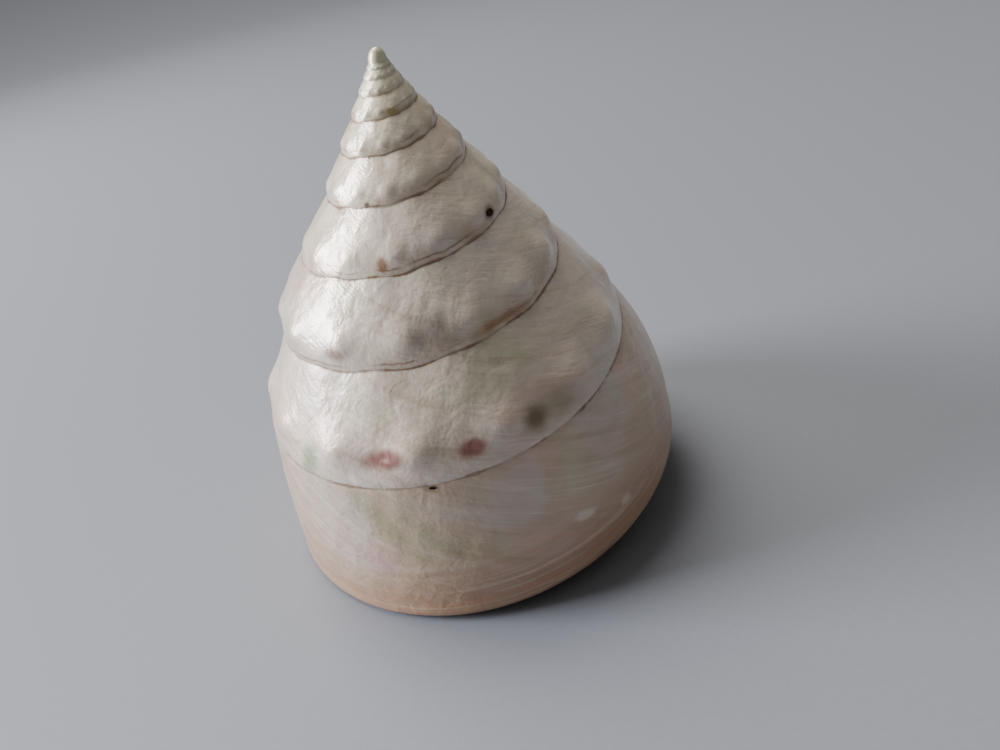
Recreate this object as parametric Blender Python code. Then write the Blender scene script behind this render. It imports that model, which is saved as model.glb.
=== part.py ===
"""A polished top shell, grown in one piece, standing on its base.

Lengths are in millimetres here and become metres when the mesh is made. The shell is worked out
about its own coiling axis: depth is the distance below the apex along that axis, and turns count
whorls along the coil. Turn 0 is where the last suture faces the front (-Y). The coil is
right-handed, so the turn rises from the right to the front, the left and the back.
A section is the whorl's outline in the plane of the axis. Its share runs from 0 at the upper
suture to 1 at the end of the flank and 2 at the middle of the base.
"""
import math

import bmesh
import bpy
from mathutils import Matrix, Vector

MM = 0.001

# The cone and its coiling
SUTURE_DEPTH = 51.5          # the last suture below the apex, at the front
GROWTH = 0.332               # natural log of the growth in depth over one turn
GROWTH_EASE = 0.0115         # the growth slows by this much, times the turn squared
CONE_SLOPE = 0.645           # suture radius over its depth
BLUNT_GAIN = 1.3             # the first whorls are fuller than the cone, as if this much deeper
BLUNT_FADE = 5.0             # the depth over which that gain dies away
TIP_DEPTH = -0.8             # the rounded tip stands above the cone's own point
LIP_TURN = 0.62              # the turn at which the mouth's lip leaves the suture
LATE_PULL = 0.06             # the adult coil draws in by this share of its radius
LATE_PULL_START = 0.0
LATE_PULL_SPAN = 0.3
LATE_DROP = 0.043            # and its suture drops by this share of its depth
LATE_DROP_START = 0.2
LATE_DROP_SPAN = 0.4

# The whorl's outline
FLANK_SWELL = 0.09           # bulge of a lower whorl's flank, as a share of its width
YOUNG_SWELL = 0.05           # what a young whorl bulges more than that
LAST_WHORL_START = 1.15      # the last whorl's own outline begins this many turns behind the lip
LAST_WHORL_EASE = 0.15
RIM_RADIUS_EARLY = 38.7      # the widest line of the last whorl, half a turn before the front
RIM_RADIUS_LATE = 37.6       # the same line from the left side on
RIM_DEPTH_RATIO = 1.50       # rim depth over suture depth
RIM_DEPTH_LEVEL = 87.6       # the rim comes to this depth at the back and runs level
RIM_LEVEL_EASE = 2.5
RIM_TUCK = 1.5               # the widest line starts this much further in, below the lip's top
RIM_TUCK_SPAN = 0.12
BASE_SWELL = 4.4             # the base bulges this far below the rim
BASE_FOOT = 0.66             # the base's lowest line, as a share of the rim radius
SHOULDER = 0.90              # how far down from suture to rim the flank ends
SHOULDER_INSET = 0.35        # the flank's end is this much narrower than the rim
FLANK_END_SLOPE = 0.07
SEAM_FADE = 0.1              # the flank leaves the next seam's line over this many turns
PILLAR_TIP_RADIUS = 4.0      # the pillar's end, at the middle of the base
PILLAR_TIP_DEPTH = 83.2
PILLAR_TIP_PITCH = 1.6       # the pillar's end winds down by this much in the last turn

# Where the coil grew unevenly
TIP_DRIFT = 0.8              # the tip sits this far to the right of the axis
TIP_DRIFT_FADE = 7.0         # the depth over which it comes back
SIDE_SWELL = 1.9             # the left side of the middle whorls is fuller by this much
SIDE_SWELL_DEPTH = 32.0
SIDE_SWELL_SPREAD = 8.0

# How it stands
LEAN = math.radians(8.0)     # the apex leans forward by this much
FLOOR_DEPTH = 85.3           # the surface it stands on, below the apex along the axis
SETTLE = 0.35                # the base is flat to this depth where it touches
AXIS_FOOT = (-0.40, 0.73)    # where the axis meets the floor, so that the box is centred

# The mouth and the hollow behind it
WALL = 1.8
LIP_SLANT = 0.13             # the lip's rim lies this many turns behind its top
SLANT_SPAN = 0.5             # the growth lines turn to that slant over this many turns
MOUTH_REACH = 1.25           # turns that the hollow goes back from the lip
MOUTH_CLEAR = 0.14           # turns that its cutter goes on past the lip
PILLAR_RADIUS = 6.4          # the pillar left round the axis
ROOF_GAP = 1.3               # the hollow's roof lies this far below the whorl above
MOUTH_BITE = 0.35            # and cuts into it by this much where the mouth opens

# Low knobs round each whorl, above its lower suture
KNOBS_PER_TURN = 14
KNOB_HEIGHT = 0.032          # share of the suture's radius
KNOB_PLACE = 0.68            # share of the way down the flank
KNOB_SPREAD = 0.17
LAST_KNOB_TURN = -0.42       # they die away from here on
KNOB_FADE = 0.1

# Facets
COLUMNS = 56                 # in one turn, four to a knob
COLUMN_COUNT = 455
FLANK_ROWS = 6
RIM_ROWS = 3
BASE_ROWS = 10
ROWS = FLANK_ROWS + RIM_ROWS + BASE_ROWS
DOME_RINGS = 3
HOLLOW_POINTS = 16
HOLLOW_COLUMNS = 34          # in one turn


def smooth(x):
    """Eases from 0 to 1 while x goes from 0 to 1."""
    x = min(max(x, 0.0), 1.0)
    return x * x * (3.0 - 2.0 * x)


def blend(a, b, share):
    return a + (b - a) * share


def bezier(points, share):
    """A point of the Bezier curve with these control points."""
    while len(points) > 1:
        points = [tuple(blend(a, b, share) for a, b in zip(p, q)) for p, q in zip(points, points[1:])]
    return points[0]


def suture(turn):
    """Radius and depth of the suture line."""
    depth = SUTURE_DEPTH * math.exp(GROWTH * turn - GROWTH_EASE * turn * turn)
    fuller = depth + BLUNT_GAIN * math.exp(-depth / BLUNT_FADE)
    pull = 1.0 - LATE_PULL * smooth((turn - LATE_PULL_START) / LATE_PULL_SPAN)
    drop = 1.0 + LATE_DROP * smooth((turn - LATE_DROP_START) / LATE_DROP_SPAN)
    return CONE_SLOPE * fuller * pull, depth * drop


def size_at(turn):
    """How large the whorl is, against its size at the front of the last turn."""
    return suture(turn)[1] / SUTURE_DEPTH


def last_share(turn):
    """0 on the whorls that the next one covers, 1 on the last whorl."""
    return smooth((turn - (LIP_TURN - LAST_WHORL_START)) / LAST_WHORL_EASE)


def rim(turn):
    """Radius and depth of the whorl's widest line, hidden on all but the last whorl."""
    depth = suture(turn)[1]
    next_radius, next_depth = suture(turn + 1.0)
    hidden = (next_radius + SHOULDER_INSET * size_at(turn), depth + (next_depth - depth) / SHOULDER)
    above_level = (RIM_DEPTH_LEVEL - RIM_DEPTH_RATIO * depth) / RIM_LEVEL_EASE
    level_depth = RIM_DEPTH_LEVEL - RIM_LEVEL_EASE * math.log1p(math.exp(above_level))
    tuck = RIM_TUCK * (1.0 - smooth((turn - (LIP_TURN - 1.0)) / RIM_TUCK_SPAN))
    shown = (blend(RIM_RADIUS_EARLY, RIM_RADIUS_LATE, smooth((turn + 0.5) / 0.8)) - tuck, level_depth)
    share = last_share(turn)
    return blend(hidden[0], shown[0], share), blend(hidden[1], shown[1], share)


def angle_of(turn):
    return math.pi / 2 + 2 * math.pi * turn


def floor_depth(turn, radius):
    """Depth of the floor at this place, along the leaning axis."""
    return FLOOR_DEPTH - radius * math.sin(angle_of(turn)) * math.tan(LEAN)


def foot(turn):
    """Radius and depth of the base's lowest line."""
    rim_radius, rim_depth = rim(turn)
    radius = BASE_FOOT * rim_radius
    return radius, min(rim_depth + BASE_SWELL * size_at(turn), floor_depth(turn, radius) + SETTLE)


def flank(turn, share):
    """The part of the outline from the upper suture down to the lower one."""
    top = suture(turn)
    low = suture(turn + 1.0)
    width = math.hypot(low[0] - top[0], low[1] - top[1])
    swell = FLANK_SWELL + YOUNG_SWELL * smooth((-turn - 1.0) / 4.0)
    out = swell * width * 2.0 * share ** 1.2 * (1.0 - share) ** 0.8
    covered = (blend(top[0], low[0], share) + out * (low[1] - top[1]) / width,
               blend(top[1], low[1], share) - out * (low[0] - top[0]) / width)
    rim_radius, rim_depth = rim(turn)
    end = (rim_radius - SHOULDER_INSET * size_at(turn), blend(top[1], rim_depth, SHOULDER))
    half = 0.5 * (end[1] - top[1])
    shown = bezier([top, (end[0] - FLANK_END_SLOPE * half, top[1] + half), end], share)
    gap = share * share * (1.0 - smooth((turn - (LIP_TURN - 1.0)) / SEAM_FADE))
    shown = (shown[0] + gap * (low[0] - end[0]), shown[1] + gap * (low[1] - end[1]))
    return tuple(blend(a, b, last_share(turn)) for a, b in zip(covered, shown))


def outline(turn, share):
    """The whole outline of the last whorl, from suture to navel."""
    if share <= 1.0:
        return flank(turn, share)
    rim_radius, rim_depth = rim(turn)
    end = flank(turn, 1.0)
    rim_share = RIM_ROWS / (RIM_ROWS + BASE_ROWS)
    along = share - 1.0
    if along <= rim_share:
        lead = 0.4 * (rim_depth - end[1])
        return bezier([end, (end[0] + FLANK_END_SLOPE * lead, end[1] + lead),
                       (rim_radius, rim_depth - lead), (rim_radius, rim_depth)], along / rim_share)
    foot_radius, foot_depth = foot(turn)
    along = (along - rim_share) / (1.0 - rim_share)
    if along <= 0.5:
        return bezier([(rim_radius, rim_depth), (rim_radius, blend(rim_depth, foot_depth, 0.55)),
                       (blend(foot_radius, rim_radius, 0.5), foot_depth), (foot_radius, foot_depth)],
                      along * 2.0)
    tip_depth = PILLAR_TIP_DEPTH + PILLAR_TIP_PITCH * (turn - LIP_TURN + 0.5)
    return bezier([(foot_radius, foot_depth), (0.55 * foot_radius, foot_depth),
                   (1.3 * PILLAR_TIP_RADIUS, foot_depth), (PILLAR_TIP_RADIUS, tip_depth)],
                  along * 2.0 - 1.0)


def knob(turn, share):
    """How far a knob stands out here."""
    wave = 0.5 - 0.5 * math.cos(2 * math.pi * KNOBS_PER_TURN * turn)
    across = math.exp(-((share - KNOB_PLACE) / KNOB_SPREAD) ** 2)
    fade = 1.0 - smooth((turn - LAST_KNOB_TURN) / KNOB_FADE)
    return KNOB_HEIGHT * suture(turn + 0.5)[0] * wave * across * fade


def stand(radius, turn, depth):
    """A point of the shell, as it stands on the floor at z = 0."""
    angle = angle_of(turn)
    leftward = max(0.0, -math.cos(angle)) ** 2 * min(radius / 10.0, 1.0)
    radius += SIDE_SWELL * leftward * math.exp(-((depth - SIDE_SWELL_DEPTH) / SIDE_SWELL_SPREAD) ** 2)
    drift = TIP_DRIFT * math.exp(-max(depth, 0.0) / TIP_DRIFT_FADE)
    upright = Vector((radius * math.cos(angle) + drift, -radius * math.sin(angle), FLOOR_DEPTH - depth))
    leaned = Matrix.Rotation(LEAN, 3, "X") @ upright
    leaned += Vector((AXIS_FOOT[0], AXIS_FOOT[1], 0.0))
    leaned.z = max(leaned.z, 0.0)
    return leaned * MM


def slant(turn, share):
    """The growth lines lean back, so rows near the lip are taken from this much earlier."""
    start = smooth(share / 1.1)
    inward = smooth((share - 1.45) / 0.5)
    near_lip = smooth((turn - (LIP_TURN - SLANT_SPAN)) / SLANT_SPAN)
    return LIP_SLANT * start * (1.0 - inward) * near_lip


def share_of(row):
    """The outline's share at this row of facets."""
    if row <= FLANK_ROWS:
        return row / FLANK_ROWS
    return 1.0 + (row - FLANK_ROWS) / (ROWS - FLANK_ROWS)


def outer_body():
    """The shell as a filled solid, closed across its mouth."""
    mesh = bmesh.new()
    columns = []
    first_last = COLUMN_COUNT - COLUMNS
    for column in range(COLUMN_COUNT + 1):
        turn = LIP_TURN + (column - COLUMN_COUNT) / COLUMNS
        line = []
        for row in range(1 + (FLANK_ROWS if column < first_last else ROWS)):
            if row == FLANK_ROWS and column <= first_last:
                line.append(None)  # the next whorl's suture comes here
                continue
            share = share_of(row)
            at = turn - slant(turn, share)
            radius, depth = outline(at, share)
            line.append(mesh.verts.new(stand(radius + knob(turn, share), at, depth)))
        columns.append(line)
    for column in range(first_last + 1):
        columns[column][FLANK_ROWS] = columns[column + COLUMNS][0]
    for before, after in zip(columns, columns[1:]):
        for row in range(min(len(before), len(after)) - 1):
            mesh.faces.new([before[row], after[row], after[row + 1], before[row + 1]])
    close_tip(mesh, columns)
    close_base_and_mouth(mesh, columns, first_last)
    bmesh.ops.recalc_face_normals(mesh, faces=mesh.faces)
    return mesh


def close_tip(mesh, columns):
    """A rounded cap over the first turn."""
    loop = [columns[column][0] for column in range(COLUMNS + 1)]
    loop += [columns[0][row] for row in range(FLANK_ROWS - 1, 0, -1)]
    tip = stand(0.0, 0.0, TIP_DEPTH)
    ring = loop
    for step in range(1, DOME_RINGS + 1):
        turn_in = 0.5 * math.pi * step / (DOME_RINGS + 1)
        inner = []
        for vert in loop:
            place = Vector(tip)
            place.xy = Vector(tip).xy.lerp(vert.co.xy, math.cos(turn_in))
            place.z = blend(vert.co.z, tip.z, math.sin(turn_in))
            inner.append(mesh.verts.new(place))
        for index, vert in enumerate(ring):
            after = (index + 1) % len(ring)
            mesh.faces.new([ring[after], vert, inner[index], inner[after]])
        ring = inner
    top = mesh.verts.new(tip)
    for index, vert in enumerate(ring):
        mesh.faces.new([ring[(index + 1) % len(ring)], vert, top])


def close_base_and_mouth(mesh, columns, first_last):
    """The end of the pillar, and a face across the mouth that the hollow then cuts through."""
    centre = mesh.verts.new(stand(0.0, 0.0, PILLAR_TIP_DEPTH))
    ring = [columns[column][ROWS] for column in range(first_last, COLUMN_COUNT + 1)]
    for before, after in zip(ring, ring[1:]):
        mesh.faces.new([before, after, centre])
    mesh.faces.new([ring[-1], ring[0], centre])
    lip = columns[COLUMN_COUNT]
    above = [lip[0]] + columns[first_last][FLANK_ROWS + 1:]
    lip_along, above_along = fractions(lip), fractions(above)
    mesh.faces.new([lip[0], lip[1], above[1]])
    i = j = 1
    while i < len(lip) - 1 or j < len(above) - 1:
        if j == len(above) - 1 or (i < len(lip) - 1 and lip_along[i + 1] < above_along[j + 1]):
            mesh.faces.new([lip[i], lip[i + 1], above[j]])
            i += 1
        else:
            mesh.faces.new([lip[i], above[j + 1], above[j]])
            j += 1


def fractions(chain):
    """How far along the chain each of its vertices is, from 0 to 1."""
    lengths = [0.0]
    for before, after in zip(chain, chain[1:]):
        lengths.append(lengths[-1] + (after.co - before.co).length)
    return [length / lengths[-1] for length in lengths]


def roof_gap(turn):
    """Clear depth between the whorl above and the hollow's roof."""
    opening = smooth((turn - (LIP_TURN - 0.35)) / 0.3)
    leaving = smooth((turn - (LIP_TURN - 0.02)) / MOUTH_CLEAR)
    gap = blend(ROOF_GAP * size_at(turn), -MOUTH_BITE, opening)
    return blend(gap, 3.0 * MOUTH_BITE, leaving)


def hollow_section(turn):
    """Corners of the hollow at this turn, in the plane of the axis, going round."""
    size = size_at(turn)
    top_depth = suture(turn)[1]
    rim_radius, rim_depth = rim(turn)
    foot_depth = foot(turn)[1]
    above_rim = rim(turn - 1.0)
    above_foot = foot(turn - 1.0)
    wall = WALL * min(size, 1.1)
    roof = above_foot[1] + roof_gap(turn)

    def inside(depth):
        share = (depth - top_depth) / (flank(turn, 1.0)[1] - top_depth)
        return flank(turn, min(share, 1.0))[0] - 1.15 * wall

    corner = blend(above_rim[1], roof, 0.75)
    middle = 0.5 * (roof + rim_depth)
    pillar = PILLAR_RADIUS * size
    return [(inside(corner), corner),
            (inside(middle), middle),
            (rim_radius - 1.35 * wall, rim_depth - 0.6 * wall),
            (0.70 * rim_radius, foot_depth - 1.25 * wall),
            (pillar + 1.2, foot_depth - 1.6 * wall),
            (pillar, roof + 1.2 * size),
            (0.5 * above_foot[0] + 0.5 * pillar, roof),
            (above_foot[0], roof)]


def rounded(corners, count):
    """Points on a smooth closed curve through the corners."""
    points = []
    total = len(corners)
    for index in range(count):
        place = index * total / count
        start = int(place)
        share = place - start
        before, here, after, beyond = (corners[(start + k) % total] for k in (-1, 0, 1, 2))
        point = []
        for a, b, c, d in zip(before, here, after, beyond):
            slope_here = 0.4 * (c - a)
            slope_after = 0.4 * (d - b)
            point.append(bezier([(b,), (b + slope_here / 3,), (c - slope_after / 3,), (c,)], share)[0])
        points.append(tuple(point))
    return points


def hollow():
    """The space behind the mouth, as a solid that cuts it out."""
    mesh = bmesh.new()
    start = LIP_TURN - MOUTH_REACH
    count = round((MOUTH_REACH + MOUTH_CLEAR) * HOLLOW_COLUMNS)
    rings = []
    for index in range(count + 1):
        turn = start + (MOUTH_REACH + MOUTH_CLEAR) * index / count
        corners = hollow_section(turn)
        middle = [sum(values) / len(corners) for values in zip(*corners)]
        narrow = 0.25 + 0.75 * math.sqrt(smooth(index / 9.0))
        corners = [tuple(blend(m, c, narrow) for m, c in zip(middle, corner)) for corner in corners]
        ring = []
        for radius, depth in rounded(corners, HOLLOW_POINTS):
            place = stand(radius, turn, depth)
            ring.append(mesh.verts.new(place))
        rings.append(ring)
    for before, after in zip(rings, rings[1:]):
        for index in range(HOLLOW_POINTS):
            following = (index + 1) % HOLLOW_POINTS
            mesh.faces.new([before[index], after[index], after[following], before[following]])
    for ring in (rings[0], rings[-1]):
        mesh.faces.new(ring)
    bmesh.ops.triangulate(mesh, faces=mesh.faces)
    bmesh.ops.recalc_face_normals(mesh, faces=mesh.faces)
    return mesh


def add_object(name, mesh, material):
    data = bpy.data.meshes.new(name)
    mesh.to_mesh(data)
    mesh.free()
    data.materials.append(material)
    body = bpy.data.objects.new(name, data)
    bpy.context.scene.collection.objects.link(body)
    return body


def nacre():
    """Polished mother-of-pearl, warm silver."""
    material = bpy.data.materials.new("polished nacre")
    material.use_nodes = True
    shader = material.node_tree.nodes["Principled BSDF"]
    shader.inputs["Base Color"].default_value = (0.62, 0.54, 0.46, 1.0)
    shader.inputs["Roughness"].default_value = 0.28
    shader.inputs["Metallic"].default_value = 0.15
    return material


def build():
    for existing in list(bpy.data.objects):
        bpy.data.objects.remove(existing, do_unlink=True)
    material = nacre()
    shell = add_object("shell", outer_body(), material)
    cutter = add_object("mouth_cutter", hollow(), material)
    cutter.hide_render = True
    cutter.display_type = "WIRE"
    cut = shell.modifiers.new("mouth", "BOOLEAN")
    cut.operation = "DIFFERENCE"
    cut.solver = "EXACT"
    cut.object = cutter
    shell.data.shade_smooth()


build()
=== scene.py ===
"""A polished top shell, standing on a pale floor in soft light from the left.

Lengths are in millimetres until a point is placed, and then in metres. The shell is worked out
about its own coiling axis: depth is the distance below the apex along that axis, and turns count
whorls along the coil. Turn 0 is where the last seam faces the front. A section's share runs from
0 at the upper seam to 1 at the end of the flank and 2 at the pillar, in the middle of the base.
"""
import math

import bmesh
import bpy
from mathutils import Euler, Matrix, Vector


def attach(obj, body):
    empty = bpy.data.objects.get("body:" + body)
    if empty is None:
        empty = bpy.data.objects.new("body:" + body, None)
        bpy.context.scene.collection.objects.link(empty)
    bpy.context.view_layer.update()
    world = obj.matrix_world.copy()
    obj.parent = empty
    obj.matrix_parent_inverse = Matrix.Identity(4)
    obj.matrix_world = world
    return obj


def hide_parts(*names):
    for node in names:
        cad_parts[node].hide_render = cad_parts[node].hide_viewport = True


MM = 0.001

# The cone and its coiling
SUTURE_DEPTH = 51.5
GROWTH = 0.332
GROWTH_EASE = 0.0115
CONE_SLOPE = 0.645
BLUNT_GAIN = 1.3
BLUNT_FADE = 5.0
TIP_DEPTH = -0.8
LIP_TURN = 0.62
TURNS = 10.125               # from the rounded tip to the lip
LATE_PULL = 0.06             # of the seam's radius, inwards, near the lip
LATE_PULL_START = 0.0
LATE_PULL_SPAN = 0.3
LATE_DROP = 0.043            # of the seam's depth, downwards, near the lip
LATE_DROP_START = 0.2
LATE_DROP_SPAN = 0.4

# The whorl's outline: YOUNG is for the upper whorls, EARLY and LATE for the last one's two ends
FLANK_SWELL = 0.09           # of the flank's width
SWELL_START = 1.2            # powers that put the fullest place a little below the middle
SWELL_END = 0.8
YOUNG_SWELL = 0.05           # more on the upper whorls
YOUNG_END = -1.0
YOUNG_SPAN = 4.0
LAST_WHORL_START = 1.15
LAST_WHORL_EASE = 0.15
RIM_RADIUS_EARLY = 38.7
RIM_RADIUS_LATE = 37.6
RIM_TURN_EARLY = -0.5
RIM_TURN_SPAN = 0.8
RIM_DEPTH_RATIO = 1.50
RIM_DEPTH_LEVEL = 87.6
RIM_LEVEL_EASE = 2.5
RIM_TUCK = 1.5               # the widest line starts this much further in, below the lip's top
RIM_TUCK_SPAN = 0.12
RIM_SHARE = 0.23             # of the part of the outline below the flank
RIM_ROUND = 0.4
SEAM_FADE = 0.1              # turns past the lip's top in which the flank leaves the seam
BASE_SWELL = 4.4
BASE_FOOT = 0.66             # of the rim's radius
BASE_ROUND = 0.55
SHOULDER = 0.90
SHOULDER_INSET = 0.35
FLANK_END_SLOPE = 0.07
PILLAR_TIP_RADIUS = 4.0
PILLAR_FLARE = 1.3
PILLAR_TIP_DEPTH = 83.2
PILLAR_TIP_PITCH = 1.6

# Where the coil grew unevenly
TIP_DRIFT = 0.8
TIP_DRIFT_FADE = 7.0
SIDE_SWELL = 1.9
SIDE_SWELL_DEPTH = 32.0
SIDE_SWELL_SPREAD = 8.0
SIDE_SWELL_RADIUS = 10.0     # full from this radius out

# How it stands
LEAN = math.radians(8.0)
FLOOR_DEPTH = 85.3
SETTLE = 0.35                # how much of the base's lowest line is worn off, flat
AXIS_FOOT = (-0.40, 0.73)

# The mouth and the hollow behind it
WALL = 1.8
LIP_SLANT = 0.13
SLANT_SPAN = 0.5
SLANT_FULL_SHARE = 1.1
SLANT_INNER_SHARE = 1.45
SLANT_INNER_SPAN = 0.5
MOUTH_REACH = 1.25
MOUTH_CLEAR = 0.14
PILLAR_RADIUS = 6.4
PILLAR_ROUND = 1.2
ROOF_GAP = 1.3
ROOF_OPENING = 0.35          # turns behind the lip where the roof starts to open
ROOF_OPENING_SPAN = 0.3
ROOF_LEAVING = 0.02
MOUTH_BITE = 0.35            # how far the hollow cuts into the whorl above, at the mouth
ROOF_GAP_BEYOND = 3.0 * MOUTH_BITE
CORNER_EASE = 0.4
HOLLOW_SHOULDER = 0.75       # of the way from the rim of the whorl above to the roof
HOLLOW_FOOT = 0.70           # of the rim's radius
HOLLOW_END = 0.25            # of its full size, at its closed end
HOLLOW_TAPER = 9.0 / 34.0    # turns in which it gets its full size

# How many walls the hollow's corners stay inside the outline
SIDE_WALLS = 1.15
RIM_WALLS_IN = 1.35
RIM_WALLS_UP = 0.6
FOOT_WALLS = 1.25
PILLAR_WALLS = 1.6
LARGEST_WALL = 1.1           # times the wall

# Low knobs round each whorl, above its lower seam
KNOBS_PER_TURN = 14
KNOB_HEIGHT = 0.038          # of the whorl's radius
KNOB_POINT = 1.5             # higher than 1 leaves flatter places between the knobs
KNOB_PLACE = 0.68
KNOB_SPREAD = 0.17
LAST_KNOB_TURN = -0.42
KNOB_FADE = 0.1
KNOB_UNEVEN = 0.22
KNOB_UNEVEN_WAVES = (7.3, 19.1)    # in 2 pi turns

# Seams dip under the knobs above them, on all but the last whorl
SEAM_WAVE = 0.016            # of the seam's radius
SEAM_WAVE_END = -0.6
SEAM_WAVE_FADE = 0.3
SEAM_WAVE_SHIFT = 0.5
SEAM_DRIFTS = ((0.4, 31.0, 0.0), (0.3, 57.0, 1.0))    # size, waves in 2 pi turns, shift

# Fine relief that the polishing left
SEAM_GROOVE_DEPTH = 0.08
SEAM_GROOVE_WIDTH = 0.55
SEAM_GROOVE_GAIN = 1.6       # it is shallower where the whorl's size times this is under 1
WRINKLE_HEIGHT = 0.045
WRINKLES = ((150.0, 9.0, 0.0), (263.0, 14.0, 2.0))    # waves in 2 pi turns, slant, shift
WRINKLE_SEAM_GAP = 0.15
WRINKLE_LOW_GAP = 0.2

# Pits: name, turn and share on the coil, size along and down the whorl, depth
PITS = (("bored_hole", -3.136, 0.85, (1.8, 1.15), 0.6),
        ("seam_chip", 0.027, 0.02, (1.3, 0.8), 0.18))
PIT_ROUGHNESS = 0.06
PIT_AIM = 10.0               # towards a point of the axis this much higher than the pit

# Grids
COLUMNS = 256                # in one turn
FLANK_ROWS = 28
BASE_ROWS = 44
HOLLOW_COLUMNS = 120         # in one turn
HOLLOW_POINTS = 56
DOME_RINGS = 8
DOME_REACH = 4.5             # the tip's open edge is this near the tip's height
MERGE = 0.0008 * MM          # points closer than this are one
FAR_FROM_SEAMS = 60.0        # millimetres, on the faces that touch no seam

# A floor of plain board, in metres
FLOOR_SIZE = 12.0
FLOOR_STEPS = 96
FLOOR_FLAT = 1.5
FLOOR_CURVE = 0.25

# Camera and light, fitted to the photograph's view
CAMERA_PLACE = (7.22, -128.53, 98.31)
CAMERA_TURN = (58.94, 10.966, -6.536)
CAMERA_LENS = 28.0
SENSOR_WIDTH = 36.0


def smooth(x):
    x = min(max(x, 0.0), 1.0)
    return x * x * (3.0 - 2.0 * x)


def blend(a, b, share):
    return a + (b - a) * share


def bezier(points, share):
    while len(points) > 1:
        points = [tuple(blend(a, b, share) for a, b in zip(p, q)) for p, q in zip(points, points[1:])]
    return points[0]


# The coil

def suture(turn):
    """Radius and depth of the seam line."""
    depth = SUTURE_DEPTH * math.exp(GROWTH * turn - GROWTH_EASE * turn * turn)
    fuller = depth + BLUNT_GAIN * math.exp(-depth / BLUNT_FADE)
    pull = 1.0 - LATE_PULL * smooth((turn - LATE_PULL_START) / LATE_PULL_SPAN)
    drop = 1.0 + LATE_DROP * smooth((turn - LATE_DROP_START) / LATE_DROP_SPAN)
    return CONE_SLOPE * fuller * pull, depth * drop


def size_at(turn):
    return suture(turn)[1] / SUTURE_DEPTH


def last_share(turn):
    """0 on the whorls that the next one covers, 1 on the last whorl."""
    return smooth((turn - (LIP_TURN - LAST_WHORL_START)) / LAST_WHORL_EASE)


def rim(turn):
    """Radius and depth of the whorl's widest line."""
    depth = suture(turn)[1]
    next_radius, next_depth = suture(turn + 1.0)
    hidden = (next_radius + SHOULDER_INSET * size_at(turn), depth + (next_depth - depth) / SHOULDER)
    above_level = (RIM_DEPTH_LEVEL - RIM_DEPTH_RATIO * depth) / RIM_LEVEL_EASE
    level_depth = RIM_DEPTH_LEVEL - RIM_LEVEL_EASE * math.log1p(math.exp(above_level))
    tuck = RIM_TUCK * (1.0 - smooth((turn - (LIP_TURN - 1.0)) / RIM_TUCK_SPAN))
    late = smooth((turn - RIM_TURN_EARLY) / RIM_TURN_SPAN)
    shown = (blend(RIM_RADIUS_EARLY, RIM_RADIUS_LATE, late) - tuck, level_depth)
    share = last_share(turn)
    return blend(hidden[0], shown[0], share), blend(hidden[1], shown[1], share)


def angle_of(turn):
    return math.pi / 2 + 2 * math.pi * turn


def floor_depth(turn, radius):
    return FLOOR_DEPTH - radius * math.sin(angle_of(turn)) * math.tan(LEAN)


def foot(turn):
    """Radius and depth of the base's lowest line."""
    rim_radius, rim_depth = rim(turn)
    radius = BASE_FOOT * rim_radius
    return radius, min(rim_depth + BASE_SWELL * size_at(turn), floor_depth(turn, radius) + SETTLE)


def flank(turn, share):
    """The outline from the upper seam down to the lower one."""
    top = suture(turn)
    low = suture(turn + 1.0)
    width = math.hypot(low[0] - top[0], low[1] - top[1])
    swell = FLANK_SWELL + YOUNG_SWELL * smooth((YOUNG_END - turn) / YOUNG_SPAN)
    out = swell * width * 2.0 * share ** SWELL_START * (1.0 - share) ** SWELL_END
    covered = (blend(top[0], low[0], share) + out * (low[1] - top[1]) / width,
               blend(top[1], low[1], share) - out * (low[0] - top[0]) / width)
    rim_radius, rim_depth = rim(turn)
    end = (rim_radius - SHOULDER_INSET * size_at(turn), blend(top[1], rim_depth, SHOULDER))
    half = 0.5 * (end[1] - top[1])
    shown = bezier([top, (end[0] - FLANK_END_SLOPE * half, top[1] + half), end], share)
    gap = share * share * (1.0 - smooth((turn - (LIP_TURN - 1.0)) / SEAM_FADE))
    shown = (shown[0] + gap * (low[0] - end[0]), shown[1] + gap * (low[1] - end[1]))
    return tuple(blend(a, b, last_share(turn)) for a, b in zip(covered, shown))


def outline(turn, share):
    """The whole outline of the last whorl, from seam to pillar."""
    if share <= 1.0:
        return flank(turn, share)
    rim_radius, rim_depth = rim(turn)
    end = flank(turn, 1.0)
    along = share - 1.0
    if along <= RIM_SHARE:
        lead = RIM_ROUND * (rim_depth - end[1])
        return bezier([end, (end[0] + FLANK_END_SLOPE * lead, end[1] + lead),
                       (rim_radius, rim_depth - lead), (rim_radius, rim_depth)], along / RIM_SHARE)
    foot_radius, foot_depth = foot(turn)
    along = (along - RIM_SHARE) / (1.0 - RIM_SHARE)
    if along <= 0.5:
        return bezier([(rim_radius, rim_depth), (rim_radius, blend(rim_depth, foot_depth, BASE_ROUND)),
                       (blend(foot_radius, rim_radius, 0.5), foot_depth), (foot_radius, foot_depth)],
                      along * 2.0)
    tip_depth = PILLAR_TIP_DEPTH + PILLAR_TIP_PITCH * (turn - LIP_TURN + 0.5)
    return bezier([(foot_radius, foot_depth), (BASE_ROUND * foot_radius, foot_depth),
                   (PILLAR_FLARE * PILLAR_TIP_RADIUS, foot_depth), (PILLAR_TIP_RADIUS, tip_depth)],
                  along * 2.0 - 1.0)


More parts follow.
